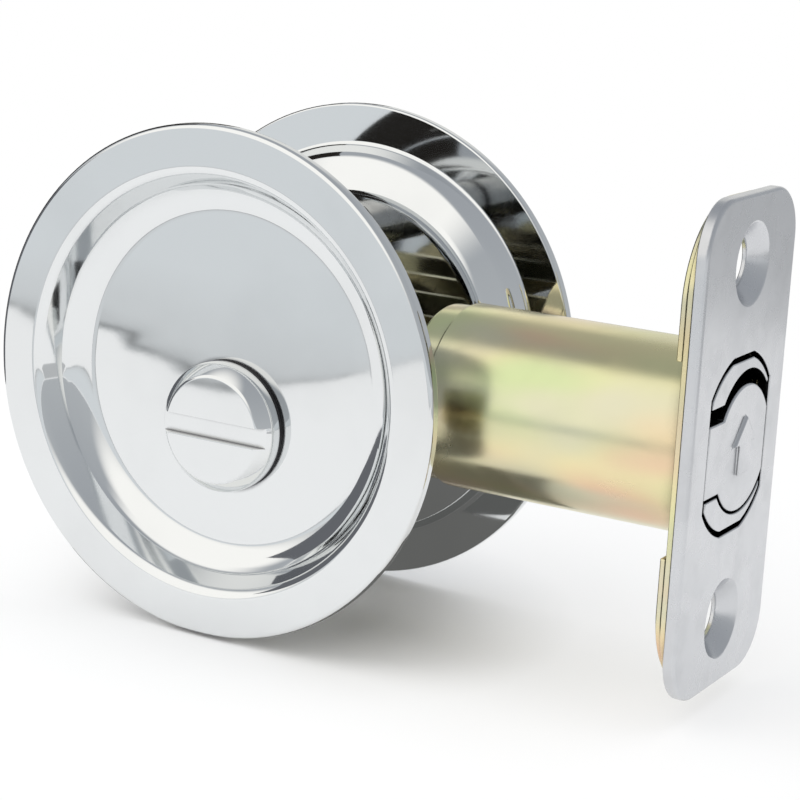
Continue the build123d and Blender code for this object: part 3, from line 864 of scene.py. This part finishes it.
    def floor(self):
        """A wide pale floor under the lowest edge of the lock, pure white further off."""
        ramp_reach = 0.20
        tree = self.sheet("floor", (-4.0, -4.0), (4.0, 4.0), FLOOR_Z)[1]
        nodes, links = tree.nodes, tree.links
        shader = nodes["Principled BSDF"]
        shader.inputs["Base Color"].default_value = (0.93, 0.93, 0.93, 1)
        shader.inputs["Roughness"].default_value = 0.9
        shader.inputs["Specular IOR Level"].default_value = 0.0
        glow = nodes.new("ShaderNodeEmission")
        seen = seen_rays(nodes, links)
        place = nodes.new("ShaderNodeTexCoord")
        reach = nodes.new("ShaderNodeVectorMath")
        reach.operation = "LENGTH"
        links.new(place.outputs["Object"], reach.inputs[0])
        steps = math_node(nodes, "DIVIDE", ramp_reach)
        links.new(reach.outputs["Value"], steps.inputs[0])
        far = nodes.new("ShaderNodeValToRGB")
        shares = far.color_ramp.elements
        shares[0].position = 0.17
        shares[0].color = (0.0, 0.0, 0.0, 1)
        shares[1].position = 0.85
        shares[1].color = (1.0, 1.0, 1.0, 1)
        shares.new(0.25).color = (0.6, 0.6, 0.6, 1)
        links.new(steps.outputs[0], far.inputs["Fac"])
        share = math_node(nodes, "MULTIPLY")
        links.new(far.outputs["Color"], share.inputs[0])
        links.new(seen, share.inputs[1])
        mix = nodes.new("ShaderNodeMixShader")
        links.new(share.outputs[0], mix.inputs["Fac"])
        links.new(shader.outputs["BSDF"], mix.inputs[1])
        links.new(glow.outputs["Emission"], mix.inputs[2])
        links.new(mix.outputs["Shader"], nodes["Material Output"].inputs["Surface"])

    def sky(self, scene):
        """A grey tent round the stage, with a soft window high in front and a paler wall behind."""
        world = bpy.data.worlds.new("studio")
        scene.world = world
        world.use_nodes = True
        tree = world.node_tree
        view = tree.nodes.new("ShaderNodeTexCoord").outputs["Generated"]
        way = tree.nodes.new("ShaderNodeSeparateXYZ")
        tree.links.new(view, way.inputs["Vector"])
        tent = tree.nodes.new("ShaderNodeValToRGB")
        tent.color_ramp.elements[0].color = (0.50, 0.52, 0.54, 1)
        tent.color_ramp.elements[1].color = (0.40, 0.42, 0.45, 1)
        tree.links.new(way.outputs["Z"], tent.inputs["Fac"])
        window = self.patch(
            tree, view, tent.outputs["Color"], middle=(-0.35, -0.75, 0.56),
            fade=soft_step(tree.nodes, low=0.70, high=0.88), tone=(1.16, 1.14, 1.10, 1),
        )
        wall = self.patch(
            tree, view, window, middle=(-0.45, 0.85, 0.15),
            fade=soft_step(tree.nodes, low=0.80, high=0.95), tone=(0.82, 0.82, 0.80, 1),
        )
        tree.links.new(wall, tree.nodes["Background"].inputs["Color"])

    def patch(self, tree, view, under, middle, fade, tone):
        """Lays a soft round patch of one tone over the sky."""
        toward = tree.nodes.new("ShaderNodeVectorMath")
        toward.operation = "DOT_PRODUCT"
        toward.inputs[1].default_value = Vector(middle).normalized()
        tree.links.new(view, toward.inputs[0])
        tree.links.new(toward.outputs["Value"], fade.inputs["Value"])
        mix = colour_mix(tree.nodes)
        mix.inputs[MIX_B].default_value = tone
        tree.links.new(fade.outputs["Result"], mix.inputs["Factor"])
        tree.links.new(under, mix.inputs[MIX_A])
        return mix.outputs[MIX_OUT]

    def lamp(self, name, place, aim, size, power):
        """One square soft box, which the metal doesn't mirror."""
        data = bpy.data.lights.new(name, "AREA")
        data.size = size
        data.energy = power
        lamp = bpy.data.objects.new(name, data)
        lamp.location = place
        lamp.rotation_euler = (Vector(aim) - Vector(place)).to_track_quat("-Z", "Y").to_euler()
        lamp.visible_glossy = False
        bpy.context.scene.collection.objects.link(lamp)

    def camera(self, scene):
        """The photograph's viewpoint: a long lens, a little above and to the latch's side."""
        data = bpy.data.cameras.new("camera")
        data.sensor_width = SENSOR_MM
        data.lens = SENSOR_MM * FOCAL_PX / PHOTO_PX
        data.clip_start = 0.01
        camera = bpy.data.objects.new("camera", data)
        right = Vector((0.86014086, 0.50731088, 0.05285241))
        up = Vector((-0.16282033, 0.17489692, 0.97103069))
        back = Vector((0.48337071, -0.84382862, 0.23303651))
        turn = Matrix((right, up, back)).transposed()
        eye = Vector((0.15432510, -0.24090548, 0.06429067))
        camera.matrix_world = Matrix.Translation(eye) @ turn.to_4x4()
        scene.collection.objects.link(camera)
        scene.camera = camera


class LOCK_PT_panel(bpy.types.Panel):
    """Sidebar panel that lists the steps of the lock"""

    bl_idname = "LOCK_PT_panel"
    bl_label = "Pocket door lock"
    bl_space_type = "VIEW_3D"
    bl_region_type = "UI"
    bl_category = "Lock"

    def draw(self, context):
        for step in STEPS:
            self.layout.operator(step.bl_idname)


STEPS = (
    LOCK_OT_finishes, LOCK_OT_works, LOCK_OT_edges, LOCK_OT_roses,
    LOCK_OT_button, LOCK_OT_tube, LOCK_OT_stage,
)
CLASSES = (LockSizes, LockColours) + STEPS + (LOCK_PT_panel,)


def register():
    for item in CLASSES:
        bpy.utils.register_class(item)
    bpy.types.Scene.lock_sizes = PointerProperty(type=LockSizes)
    bpy.types.Scene.lock_colours = PointerProperty(type=LockColours)


def unregister():
    del bpy.types.Scene.lock_colours
    del bpy.types.Scene.lock_sizes
    for item in reversed(CLASSES):
        bpy.utils.unregister_class(item)


def main():
    register()
    bpy.ops.lock.finishes()
    bpy.ops.lock.works()
    bpy.ops.lock.edges()
    bpy.ops.lock.roses()
    bpy.ops.lock.button()
    bpy.ops.lock.tube()
    bpy.ops.lock.stage()


if __name__ == "__main__":
    main()
